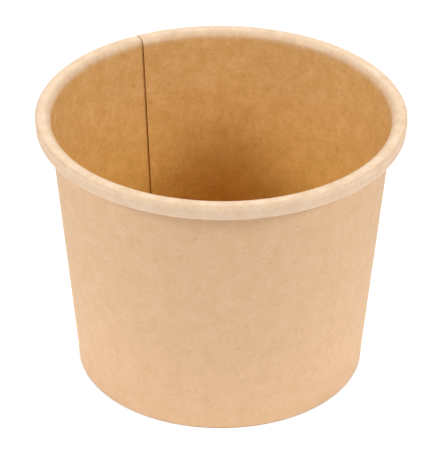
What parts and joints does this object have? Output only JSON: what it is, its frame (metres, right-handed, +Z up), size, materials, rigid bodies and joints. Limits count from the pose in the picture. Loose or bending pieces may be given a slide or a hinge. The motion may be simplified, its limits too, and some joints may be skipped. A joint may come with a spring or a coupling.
{
  "type": "paper ice cream tub",
  "caption": "Open round tub of plain kraft board, tapered, with a rolled rim, a lapped side seam and a recessed base held in a hemmed foot, for a serving of ice cream.",
  "frame": {"origin": "centre of the foot, on the plane that the tub stands on", "axes": "+Z up along the tub's axis, out of its mouth; -Y is the front that the picture shows, and the side seam is at the back left, 118.8 degrees from +X"},
  "size_m": [0.09, 0.09, 0.0688],
  "materials": {
    "kraft_board_wall": "matte",
    "kraft_board_base": "matte"
  },
  "bodies": {
    "root": {"side_wall": "kraft_board_wall", "base_disc": "kraft_board_base"}
  },
  "joints": []
}
